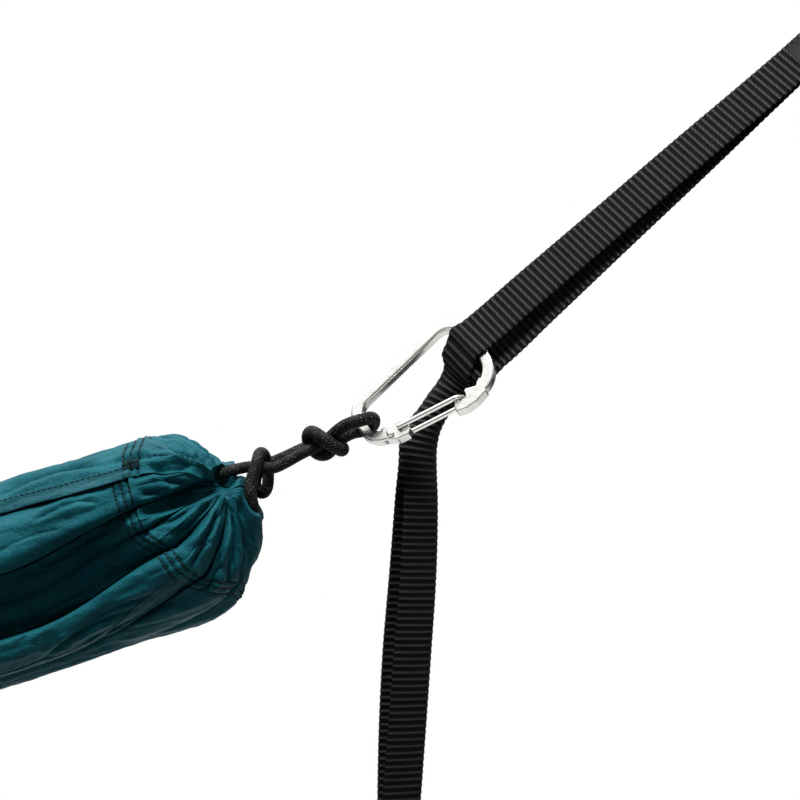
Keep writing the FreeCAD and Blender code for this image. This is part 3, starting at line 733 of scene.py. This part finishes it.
def tree_loop(side):
    """The strap's sewn eye, down to where it bends when the hammock swings."""
    across = edge_direction(STRAP[None] * -1, np.array([-PITCH]))[0]
    over = np.cross(across, STRAP)
    middle = EYE_RADIUS + WEB_THICKNESS / 2
    lean = math.asin(EYE_RADIUS / EYE_THROAT)
    arc = np.linspace(math.pi / 2 + lean, -math.pi / 2 - lean, 40)
    start = [(-EYE_NECK - SWING_GAP, GAP_SEWN), (-EYE_NECK, GAP_SEWN), (-EYE_THROAT - 2.5, GAP_SEWN),
             (-EYE_THROAT + 2, 1.9)]
    eye = [(middle * math.cos(t), middle * math.sin(t)) for t in arc]
    flat = np.array(start + eye + [(x, -y) for x, y in start[::-1]])
    points = flat[:, :1] * STRAP + flat[:, 1:] * over
    line, run = even(points, 0.5)
    way = unit(np.gradient(line, axis=0))
    sides = np.broadcast_to(across, line.shape)
    obj = band(side + "tree_loop_web", line, sides, np.cross(way, sides), run, side)
    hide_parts(side + "tree_loop")
    ends = [at_end(side, STRAP * -reach) for reach in (EYE_NECK, EYE_NECK + SWING_GAP)]
    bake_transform(obj)
    reach = WEB_THICKNESS + THREAD_RISE
    tack = bartack(side + "loop_tack", STRAP * -EYE_TACK_REACH, across, over, EYE_TACK_LENGTH, side,
                   (reach, -reach), "tree_loops")
    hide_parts(side + "loop_bartack")


for side in SIDES:
    tree_loop(side)


# ---- the cloth ----

HALF_SPAN, AXIS_SAG, END_SLOPE = 1251.0, 130.0, math.radians(19.5)
HEM_RADIUS = 51.0
OPENED_BY = 0.5  # share of the half span where the bed has opened
WIDER, DEEPER = 269, 189  # what its half width and half depth gain by mid span
HEM_BACK = vec(-384.0, 0, -294.5)
AXIS = vec(math.cos(END_SLOPE), 0, math.sin(END_SLOPE))
UP = vec(-math.sin(END_SLOPE), 0, math.cos(END_SLOPE))
THROAT = vec(40.0, -26.0, 12.6)  # where the gathers meet on the hem's dome: along the axis, to the rear, up
DOME = np.array([  # along the axis, radius
    (-60, 51.6), (-2, 51.6), (8, 51.0), (14.8, 49.3), (20.7, 47.1), (26.9, 42.6), (31, 38.6), (34.5, 34.8),
    (38, 31.0), (43, 26.2), (47.5, 20.5), (50.6, 14.0), (52, 6.0), (52.4, 0.0),
])
FAN, NEAR_BED, FAR_BED = 0, 1, 2  # the gathered end, the bed's first stretch, and the rest up to mid span
NEAR_LENGTH = 110
ROWS = ((120, 170, 150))
HEM_ROWS = 9  # of the bed's first stretch, that belong to the gathered hem

# Creases between the pleats, from the rear side hem round below to the front one. Degrees from the bottom,
# towards the front: at the stitched hem, and 80 mm into the bed. Then each pleat's share of the width.
CREASES_HEM = (-232, -198, -172, -148, -122, -97, -70, -42, -14, 18, 57, 81, 96, 110, 153)
CREASES_BED = (-226, -196, -171, -150, -124, -100, -74, -46, -22, 2, 27, 61, 79, 97, 154)
SHARES = (0.07, 0.08, 0.08, 0.095, 0.06, 0.055, 0.055, 0.06, 0.055, 0.065, 0.075, 0.06, 0.06, 0.13)
# How proud each pleat's crown stands at the hem and in the bed, in mm
PROUD_HEM = (3.2, -1, 1, -1.5, 0, 1, -1, 0.5, -0.5, -1.5, 0.5, -6.0, -5.0, 0.5)
PROUD_BED = (3.0, -1, 1, -1.5, 0, 1, -1, 0.5, -1.0, -1.0, 0.5, -24.0, -27.0, 0.5)
CROWN = (4, 5, 5, 5, 5, 5, 5, 5, 5, 6, 7, 5, 4, 9)  # radius of each pleat's shoulders near the ends, mm
TOP_SAMPLES = (30, 14, 12, 12, 12, 12, 12, 14, 20, 44, 50, 34, 24, 58)
WALL_SAMPLES, CORNER_SAMPLES = 5, 9
REAR_WALL, REAR_CORNER, FRONT_WALL = 0, 1, 4  # of a pleat's five parts: wall, corner, top, corner, wall
FRONT_SEAM, REAR_SEAM = 10, 4  # the creases that the seams follow


def bed_base(share):
    """Centre, upward direction, half width, half depth and wrap in degrees at shares of the half span."""
    near = np.clip(share, 0, 1)
    power = math.tan(END_SLOPE) * HALF_SPAN / AXIS_SAG
    drop = AXIS_SAG * (1 - (1 - near) ** power)
    slope = np.arctan(AXIS_SAG * power * (1 - near) ** (power - 1) / HALF_SPAN)
    opened = np.minimum(1, near / OPENED_BY)
    spread = (1 - (1 - near) ** 2) * opened**2 * (3 - 2 * opened)
    centre = np.stack([HEM_BACK[0] - share * HALF_SPAN, 0 * share, HEM_BACK[2] - drop], -1)
    up = np.stack([-np.sin(slope), 0 * share, np.cos(slope)], -1)
    return centre, up, HEM_RADIUS + WIDER * spread, HEM_RADIUS + DEEPER * spread, 150 - 50 * spread


def polar_dome():
    """Distance from the hem's back to the dome, for each angle from the axis."""
    angle = np.arctan2(DOME[:, 1], DOME[:, 0])[::-1]
    return angle, np.hypot(DOME[:, 0], DOME[:, 1])[::-1]


def around(theta):
    """Rear and up parts of the direction at theta degrees from the bottom, towards the front."""
    t = np.radians(theta)
    return -np.sin(t), -np.cos(t)


def stitch_line(theta):
    """How far along the hem its first row of stitches runs, at each angle."""
    knots = np.array([-232, -210, -190, -150, -110, -70, -30, 0, 22, 44, 56, 70, 81, 96, 112, 129, 153])
    along = np.array([-4, 1, 5, 2, 0, 6, 18, 25, 25, 17, 9, 3, 0, -11, -12, -11, -8.0])
    return hermite(knots, along, np.clip(theta, -232, 153))


def fan_surface(theta, level):
    """Point and outward normal before pleating, at a share of the way from the throat to the stitches."""
    rear, up = around(theta)
    along = stitch_line(theta) + 6
    radius = np.interp(along, DOME[:, 0], DOME[:, 1])
    start = unit(THROAT)
    end = unit(np.stack([along, rear * radius, up * radius], -1))
    turn = np.arccos(np.clip((end * start).sum(-1), -1, 1))[..., None]
    way = (np.sin((1 - level) * turn) * start + np.sin(level * turn) * end) / np.sin(turn)
    table_angle, table_reach = polar_dome()
    reach = np.interp(np.arccos(np.clip(way[..., 0], -1, 1)), table_angle, table_reach)
    return on_hem(way * reach[..., None]), turned_to_hem(way)


def bed_surface(theta, into):
    """Point and outward normal before pleating, at distances into the bed. Below 0 is still on the hem."""
    rear, up = around(theta)
    radius = np.interp(-into, DOME[:, 0], DOME[:, 1])
    local = np.stack([-into, rear * radius, up * radius], -1)
    normal = unit(np.stack([np.maximum(-into, 0), rear * radius, up * radius], -1))
    centre, rise, wide, deep, _ = bed_base(into / HALF_SPAN)
    extra = 0.6 * (1 - smooth(into, 0, 200))
    inside = centre + ACROSS * ((wide + extra) * rear)[..., None] + rise * ((deep + extra) * up)[..., None]
    tilt = unit(ACROSS * (rear / wide)[..., None] + rise * (up / deep)[..., None])
    in_bed = (into > 0)[..., None]
    return np.where(in_bed, inside, on_hem(local)), np.where(in_bed, tilt, turned_to_hem(normal))


def turned_to_hem(way):
    return way[..., :1] * AXIS + way[..., 1:2] * ACROSS + way[..., 2:] * UP


def on_hem(local):
    return HEM_BACK + turned_to_hem(local)


def pleat_columns():
    """For each column of the cloth: its pleat, its part and its place there, from 0 to 1."""
    pleat, part, place = [], [], []
    end = len(TOP_SAMPLES) - 1
    for i, top in enumerate(TOP_SAMPLES):
        counts = (WALL_SAMPLES, CORNER_SAMPLES, top, CORNER_SAMPLES, WALL_SAMPLES)
        for kind, count in enumerate(counts):
            if (i, kind) in ((0, REAR_WALL), (end, FRONT_WALL)):
                continue  # the side hems have no wall beyond them
            offset = {REAR_WALL: 0, FRONT_WALL: 1}.get(kind, 0.5)
            pleat += [i] * count
            part += [kind] * count
            place += list((np.arange(count) + offset) / count)
    return np.array(pleat), np.array(part), np.array(place)


# Tucks on the front of the gathered end: start and end as (along the axis, up), depth, half width in mm
TUCKS = [
    ((-78, 44.0), (-14, 40.2), 1.4, 1.6), ((-14, 40.2), (22, 33.0), 1.0, 1.4),
    ((16, 44.0), (34, 27.0), 1.8, 2.4), ((24, 43.0), (40, 23.0), 1.8, 2.0),
    ((4, 36.0), (27, 28.0), 1.6, 2.6), ((8, 30.0), (34, 17.5), 2.4, 3.0),
    ((-4, 25.0), (16, 21.5), 1.6, 2.2), ((18, 38.5), (30, 31.0), 1.6, 1.8),
    ((30, 35.5), (38, 29.5), 1.6, 1.6), ((2, 18.5), (30, 13.5), 1.2, 2.0),
    ((-60, 28.0), (-34, 29.5), 0.8, 1.6), ((-48, 31.5), (-24, 27.0), 0.7, 1.6),
    ((-90, 18.0), (-42, 20.5), 0.5, 2.2), ((4, -2.0), (32, 9.0), 2.2, 2.2),
    ((6, -7.0), (30, 4.0), 1.8, 1.8), ((2, 5.0), (24, 10.0), 1.8, 2.0), ((14, -14.0), (33, 3.0), 2.0, 1.8),
    ((22, -20.0), (36, 2.0), 2.2, 1.8), ((18, -28.0), (37, 0.0), 1.6, 1.5),
    ((29, -30.0), (39, 2.0), 3.0, 2.6), ((34, -33.0), (41, 1.0), 2.8, 2.2),
    ((38.5, -29.0), (43, 0.0), 2.8, 2.0), ((42.5, -24.0), (44, 4.0), 2.4, 1.8),
    ((46, -20.0), (46, 6.0), 2.0, 1.6), ((8, -22.0), (26, -10.0), 1.4, 1.8),
    ((-6, -30.0), (14, -22.0), 1.6, 1.8), ((12, -36.0), (26, -24.0), 1.5, 2.2),
    ((24, -38.0), (31, -24.0), 1.4, 2.0), ((-70, -35.0), (-10, -27.0), 1.0, 2.0),
    ((-84, -41.0), (-20, -30.0), 1.2, 1.6), ((-60, -44.5), (0, -35.5), 1.2, 1.8),
    ((-40, -14.0), (-12, -12.0), 0.9, 1.8), ((-90, -29.0), (-40, -20.5), 0.8, 1.6),
]


def tucked(point, outward):
    """Depth of the tucks at each point on the front."""
    local = point - HEM_BACK
    along, up = local @ AXIS, local @ UP
    total = np.zeros(along.shape)
    front = smooth(-outward[..., 1], 0.05, 0.45)
    for (a0, u0), (a1, u1), depth, width in TUCKS:
        da, du = a1 - a0, u1 - u0
        long2 = da * da + du * du
        t = ((along - a0) * da + (up - u0) * du) / long2
        bow = 0.06 * math.sqrt(long2) * np.sin(math.pi * np.clip(t, 0, 1)) * (1 if depth > 1.5 else -1)
        off = ((along - a0) * du - (up - u0) * da) / math.sqrt(long2) - bow
        fade = smooth(t, -0.02, 0.3) * (1 - smooth(t, 0.75, 1.04))
        fold = np.exp(-np.abs(off) / (0.6 * width))
        lips = np.exp(-((np.abs(off) - 1.6 * width) / width) ** 2)
        total += depth * fade * (fold - 0.35 * lips)
    return 2.2 * total * front


# Where the two cords come out, and the valley below the upper one: centre along the axis and up, radii,
# turn in degrees, depth in mm
HOLLOWS = (
    (39.0, 17.2, 8.0, 6.6, 20, 17.0), (50.5, 3.5, 4.6, 10.5, 0, 9.0), (22.0, 15.2, 27.0, 5.4, 2, 16.0),
)


def hollowed(points, normals):
    """The points on the front pushed back into the hollows."""
    local = points - HEM_BACK
    along, up = local @ AXIS, local @ UP
    front = smooth(-normals[..., 1], 0.0, 0.3)
    push = np.zeros(along.shape)
    for a0, u0, ra, ru, turn, depth in HOLLOWS:
        c, s = math.cos(math.radians(turn)), math.sin(math.radians(turn))
        da, du = along - a0, up - u0
        away = np.hypot((da * c + du * s) / ra, (du * c - da * s) / ru)
        push = np.maximum(push, depth * (1 - smooth(away, 0.55, 1.15)))
    return points + ACROSS * (push * front)[..., None]


def bed_rows():
    """Each row's stage and level: its share of the fan or the first stretch, or its distance into the bed."""
    fan, near, far = ROWS
    rows = [(FAN, 0.045 + 0.955 * (k / (fan - 1)) ** 0.92) for k in range(fan)]
    rows += [(NEAR_BED, k / near) for k in range(1, near + 1)]
    spread = NEAR_LENGTH + (HALF_SPAN - NEAR_LENGTH) * (np.arange(1, far + 1) / far) ** 1.35
    return rows + [(FAR_BED, into) for into in spread]


def row_shape(stage, level):
    """A row's creases in degrees, its pleats' proudness, depth and gap, and how far they have opened up."""
    hem, bed = np.array(CREASES_HEM, float), np.array(CREASES_BED, float)
    if stage == FAN:
        return hem, np.array(PROUD_HEM) * level, 16 * level**0.8, 0.25 + 0.75 * level, 0.0
    into = NEAR_LENGTH * level if stage == NEAR_BED else level
    share = into / HALF_SPAN
    shares = np.array(SHARES) / sum(SHARES)
    evenly = np.concatenate([[0], np.cumsum(shares)])
    u = smooth(into, 0, 80)
    edges = hem * (1 - u) + bed * u
    wrap = float(bed_base(np.array(share))[4])
    let_go = smooth(share, 0.05, 0.42)
    front, rear = edges[-1] * (1 - let_go) + wrap * let_go, edges[0] * (1 - let_go) - wrap * let_go
    place_in = (edges - edges[0]) / (edges[-1] - edges[0]) * (1 - let_go) + evenly * let_go
    sunk = smooth(into, 0, 34)
    proud = (np.array(PROUD_HEM) * (1 - sunk) + np.array(PROUD_BED) * sunk) * (1 - smooth(share, 0.08, 0.45))
    open_up = smooth(share, 0.06, 0.62)
    depth = (15 + 17 * smooth(into, 0, 50)) * (1 - open_up) + 19 * open_up
    return rear + (front - rear) * place_in, proud, depth, 1.0 + 6 * open_up, open_up


def row_scale(stage, level):
    """The radius that a row's angles are measured on."""
    if stage == FAR_BED:
        return float(np.mean(bed_base(np.array(level / HALF_SPAN))[2:4]))
    return HEM_RADIUS * (math.sin(min(level * 1.3, math.pi / 2)) if stage == FAN else 1)


def pleated_row(stage, level, pleat, part, place):
    """One row's points, outward normals and angles before pleating, and how far each point is raised."""
    edges, proud, depth, gap, open_up = row_shape(stage, level)
    left, right = edges[pleat], edges[pleat + 1]
    width = (right - left) * math.pi / 180 * row_scale(stage, level)
    crown = np.array(CROWN, float)[pleat] * (1 - open_up) + 0.42 * width * open_up
    crown = np.minimum(crown, 0.42 * width)
    half_gap = np.minimum(gap / 2, 0.08 * width)
    floor = -np.minimum(depth, 0.62 * width + 14)
    lift = proud[pleat]
    drop = np.minimum(crown, lift - floor)
    drop = np.where((pleat == 0) & (part == REAR_CORNER), 0.8, drop)
    bulge = (0.055 + (0.075 * (1 - level) if stage == FAN else 0)) * width
    sine, cosine = np.sin(place * math.pi / 2), np.cos(place * math.pi / 2)
    x = np.choose(part, (
        half_gap, half_gap + crown * (1 - cosine),
        half_gap + crown + (width - 2 * half_gap - 2 * crown) * place,
        width - half_gap - crown * (1 - sine), width - half_gap,
    ))
    raised = np.choose(part, (
        floor + (lift - drop - floor) * place, lift - drop * (1 - sine),
        lift + bulge * (1 - (2 * place - 1) ** 2),
        lift - drop * (1 - cosine), lift - drop + (floor - lift + drop) * place,
    ))
    theta = left + (right - left) * x / np.maximum(width, 1e-6)
    if stage == FAN:
        return *fan_surface(theta, level), theta, raised
    begin = -(stitch_line(theta) + 6)
    into = begin + (NEAR_LENGTH - begin) * level if stage == NEAR_BED else np.full(theta.shape, level)
    return *bed_surface(theta, into), theta, raised


def cloth_relief(run, from_stitch, tangent):
    """The fan's gathers, the bed's crumples and its waves at mid span, and the grooves of the stitches."""
    fan, bed = smooth(-from_stitch, -2, 8), smooth(from_stitch, -2, 20)
    fade = 1 - 0.6 * smooth(from_stitch, 300, 900)
    column = np.arange(run.shape[1])[None] + 0 * run
    gather = np.abs(noise(column / 4.6 + 0.7 * noise(run / 22, column / 9, 40), run / 60, 41)) ** 0.7
    gather_fine = np.abs(noise(column / 2.1, run / 34, 43)) ** 0.7
    coarse = np.abs(noise(column / 8.5 + 0.9 * noise(run / 26, column / 14, 44), run / 70, 45)) ** 0.8
    grow = smooth(run, 0, 12) * (1 - 0.45 * smooth(-from_stitch, -18, 0))
    relief = fan * grow * (3.8 * coarse + 2.0 * gather + 0.8 * gather_fine - 2.4)
    streak = fractal(tangent / 7.0, run / 75.0, 50, 3)
    crumple = fractal(tangent / 5.5, run / 9.0, 60, 3)
    relief += bed * (0.9 * streak + 0.34 * crumple) * fade
    relief += (0.42 * crumple - 1.6) * fan + 0.9 * fractal(tangent / 16.0, run / 40.0, 70, 2) * bed
    relief += 2.6 * smooth(from_stitch, 250, 800) * noise(tangent / 40.0, run / 160.0, 80)
    for row in STITCH_ROWS:
        relief -= 1.0 * np.exp(-((from_stitch - row) / 0.8) ** 2)
    return relief + 1.2 * np.exp(-((from_stitch - 7) / 6.0) ** 2) * noise(tangent / 3.0, from_stitch / 9, 90)


def half_bed():
    """Points of the bed's right half, from the throat to mid span, with what its edges and rows need."""
    pleat, part, place = pleat_columns()
    rows = [pleated_row(stage, level, pleat, part, place) for stage, level in bed_rows()]
    points, normals, angles, reach = (np.array(values) for values in zip(*rows))
    run = run_along(points)
    tangent = angles * math.pi / 180 * HEM_RADIUS
    from_stitch = run - run[ROWS[0] - 1][None]
    on_top = np.where((part > REAR_WALL) & (part < FRONT_WALL), 1.0, 0.35)[None]
    relief = (cloth_relief(run, from_stitch, tangent) - tucked(points, normals)) * on_top
    rim = np.exp(-((run - 5.0) / 3.0) ** 2) * 1.6 - 7.0 * (1 - smooth(run, 0, 4.5))
    tuck_under = -5.0 * smooth(angles, 124, 140)
    reach = reach + relief + rim + tuck_under
    # Pleats that lie deep in the front go straight back, so that none of their walls faces up into the light
    back = smooth(angles, 28, 52) * (1 - smooth(angles, 116, 132)) * smooth(-reach, 0.5, 4)
    back = (back * (1 - smooth(run, 420, 700)))[..., None]
    points = points + unit(normals * (1 - back) - ACROSS * back) * reach[..., None]
    return {"points": hollowed(points, normals), "normals": normals, "run": run, "from_stitch": from_stitch,
            "uv": np.stack([run, tangent], -1), "pleat": pleat, "part": part}


def whole(points):
    """Both halves of a grid of the bed, from one end to the other."""
    return np.concatenate([points[:-1], mirrored(points)[::-1]])


def whole_directions(way):
    """Directions for both halves, as whole() gives the points."""
    return np.concatenate([way[:-1], (way * vec(-1, 1, 1))[::-1]])


STITCH_SHAPE = (  # along the stitch as a share of its length, thickness and rise as shares of its radius
    (-0.5, 0.25, -0.25), (-0.32, 0.9, 0.25), (0, 1.0, 0.5), (0.32, 0.9, 0.25), (0.5, 0.25, -0.25),
)
STITCH_AROUND = 6
STITCH_ROWS = (2.5, 6.6, 10.7)  # distances of the hem's rows of stitches from where the fan ends
BARTACK_ROWS, BARTACK_FROM, BARTACK_TO = 6, 1.0, 12.5


def stitches(line, lift, pitch=2.4, length=2.15, radius=0.5):
    """Separate stitches of thread along a line of points with outward directions."""
    run = run_along(line)
    at = np.arange(pitch, run[-1] - pitch, pitch)

    def between(values, s):
        return np.stack([np.interp(s, run, values[:, k]) for k in range(3)], 1)

    verts = []
    for share, swell, rise in STITCH_SHAPE:
        s = at + share * length
        middle, out = between(line, s), unit(between(lift, s))
        way = unit(between(line, s + 0.3) - between(line, s - 0.3))
        across = unit(np.cross(way, out))
        out = np.cross(across, way)
        for k in range(STITCH_AROUND):
            t = k * 2 * math.pi / STITCH_AROUND
            high, wide = rise + swell * math.sin(t), swell * math.cos(t)
            verts.append(middle + out * radius * high + across * radius * wide)
    one = grid_quads(len(STITCH_SHAPE), STITCH_AROUND, True)
    quads = (one[None] + (np.arange(len(at)) * len(verts))[:, None, None]).reshape(-1, 4)
    return np.stack(verts, 1).reshape(-1, 3), quads


def make_bed():
    """The gathered hems and the three lengths of cloth between them."""
    data = half_bed()
    points, uv, pleat = data["points"], data["uv"], data["pleat"]
    split = ROWS[0] + HEM_ROWS
    for side in SIDES:
        fan, flip = end_of(side, points[:split + 1])
        obj = grid_mesh(side + "gathered_hem", fan, CLOTH, flip=flip, uv=uv[:split + 1])
        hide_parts(side + "end_channel")
        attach(obj, "hammock")
    cuts = (0, REAR_SEAM, FRONT_SEAM, len(TOP_SAMPLES))
    for name, first, last in zip(("rear", "centre", "front"), cuts, cuts[1:]):
        inside = np.flatnonzero((pleat >= first) & (pleat < last))
        stop = inside[-1] + (2 if name != "front" else 1)
        columns = slice(inside[0], stop)
        grid_uv = uv[split:][:, columns]
        obj = grid_mesh(name + "_cloth", whole(points[split:][:, columns]), CLOTH,
                        uv=np.concatenate([grid_uv[:-1], grid_uv[::-1]]))
        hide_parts(name + "_panel")
        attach(obj, "hammock")
    make_trim(points[split:], pleat)
    make_hem_stitching(data)
    make_hem_threads(data)


def make_trim(points, pleat):
    """The felled seams and the rolled side hems, as thick strips of the cloth."""
    total = len(pleat)
    front, rear = (int(np.flatnonzero(pleat == k)[0]) + WALL_SAMPLES - 1 for k in (FRONT_SEAM, REAR_SEAM))
    wide = CORNER_SAMPLES + 5
    for name, columns, thick, node in (
        ("front_felled_seam", slice(front, front + wide), 0.55, "front_seam"),
        ("rear_felled_seam", slice(rear, rear + wide), 0.55, "rear_seam"),
        ("front_side_hem", slice(total - CORNER_SAMPLES - 4, total), 0.7, "front_hem"),
        ("rear_side_hem", slice(0, CORNER_SAMPLES + 4), 0.8, "rear_hem"),
    ):
        grid = points[:, columns]
        out = unit(np.cross(np.gradient(grid, axis=0), np.gradient(grid, axis=1)))
        shell = np.concatenate([grid + out * thick, (grid - out * thick)[:, ::-1]], axis=1)
        obj = grid_mesh(name, whole(shell), CLOTH_SEAM, ring=True, flip=True)
        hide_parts(node)
        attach(obj, "hammock")


def make_hem_stitching(data):
    """Three rows of stitches round each gathered hem, and a bartack where its corner starts."""
    points, normals, from_stitch, part = (data[k] for k in ("points", "normals", "from_stitch", "part"))

    def at(distance, c):
        return [np.interp(distance, from_stitch[:, c], points[:, c, k]) for k in range(3)]

    seen = np.flatnonzero((part > REAR_WALL) & (part < FRONT_WALL))
    rows = []
    for offset in STITCH_ROWS:
        line = np.array([at(offset, c) for c in seen])
        lift = np.array([normals[int(np.argmin(np.abs(from_stitch[:, c] - offset))), c] for c in seen])
        rows.append((line + lift * 0.12, lift))
    for k in range(BARTACK_ROWS):
        c = CORNER_SAMPLES + k
        line = np.array([at(d, c) for d in np.linspace(BARTACK_FROM, BARTACK_TO, 12)])
        lift = np.repeat(normals[ROWS[0], c][None], len(line), 0)
        rows.append((line + lift * (0.9 + 0.3 * (k % 2)), lift))
    for side in SIDES:
        verts, quads, count = [], [], 0
        for line, lift in rows:
            v, q = stitches(line, lift)
            verts.append(v)
            quads.append(q + count)
            count += len(v)
        verts, flip = end_of(side, np.concatenate(verts), flip=True)
        obj = new_mesh(side + "hem_stitching", verts, np.concatenate(quads), THREAD, flip)
        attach(obj, "hammock")
        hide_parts(side + "channel_stitching")


def make_hem_threads(data):
    """The stitches along the two rolled side hems, which end on the fan."""
    points, normals = data["points"], data["normals"]
    front_column = points.shape[1] - CORNER_SAMPLES - 4
    threads = (("rear_hem_thread", CORNER_SAMPLES + 2, 7), ("front_hem_thread", front_column, 0))
    for name, c, further in threads:
        start = int(np.searchsorted(data["run"][:, c], 12.0))
        near = smooth(-data["from_stitch"][start:, c], -8, 6)[:, None]
        lift = normals[start:, c]
        line = points[start:, c] * (1 - near) + points[start:, c + further] * near
        line += lift * (1.0 - 0.8 * near)  # the rolled hem lies under its thread, but ends at the fan
        verts, quads = stitches(whole(line), whole_directions(lift), pitch=3.0, length=2.6, radius=0.22)
        obj = new_mesh(name, verts, quads, THREAD, True)
        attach(obj, "hammock")


make_bed()
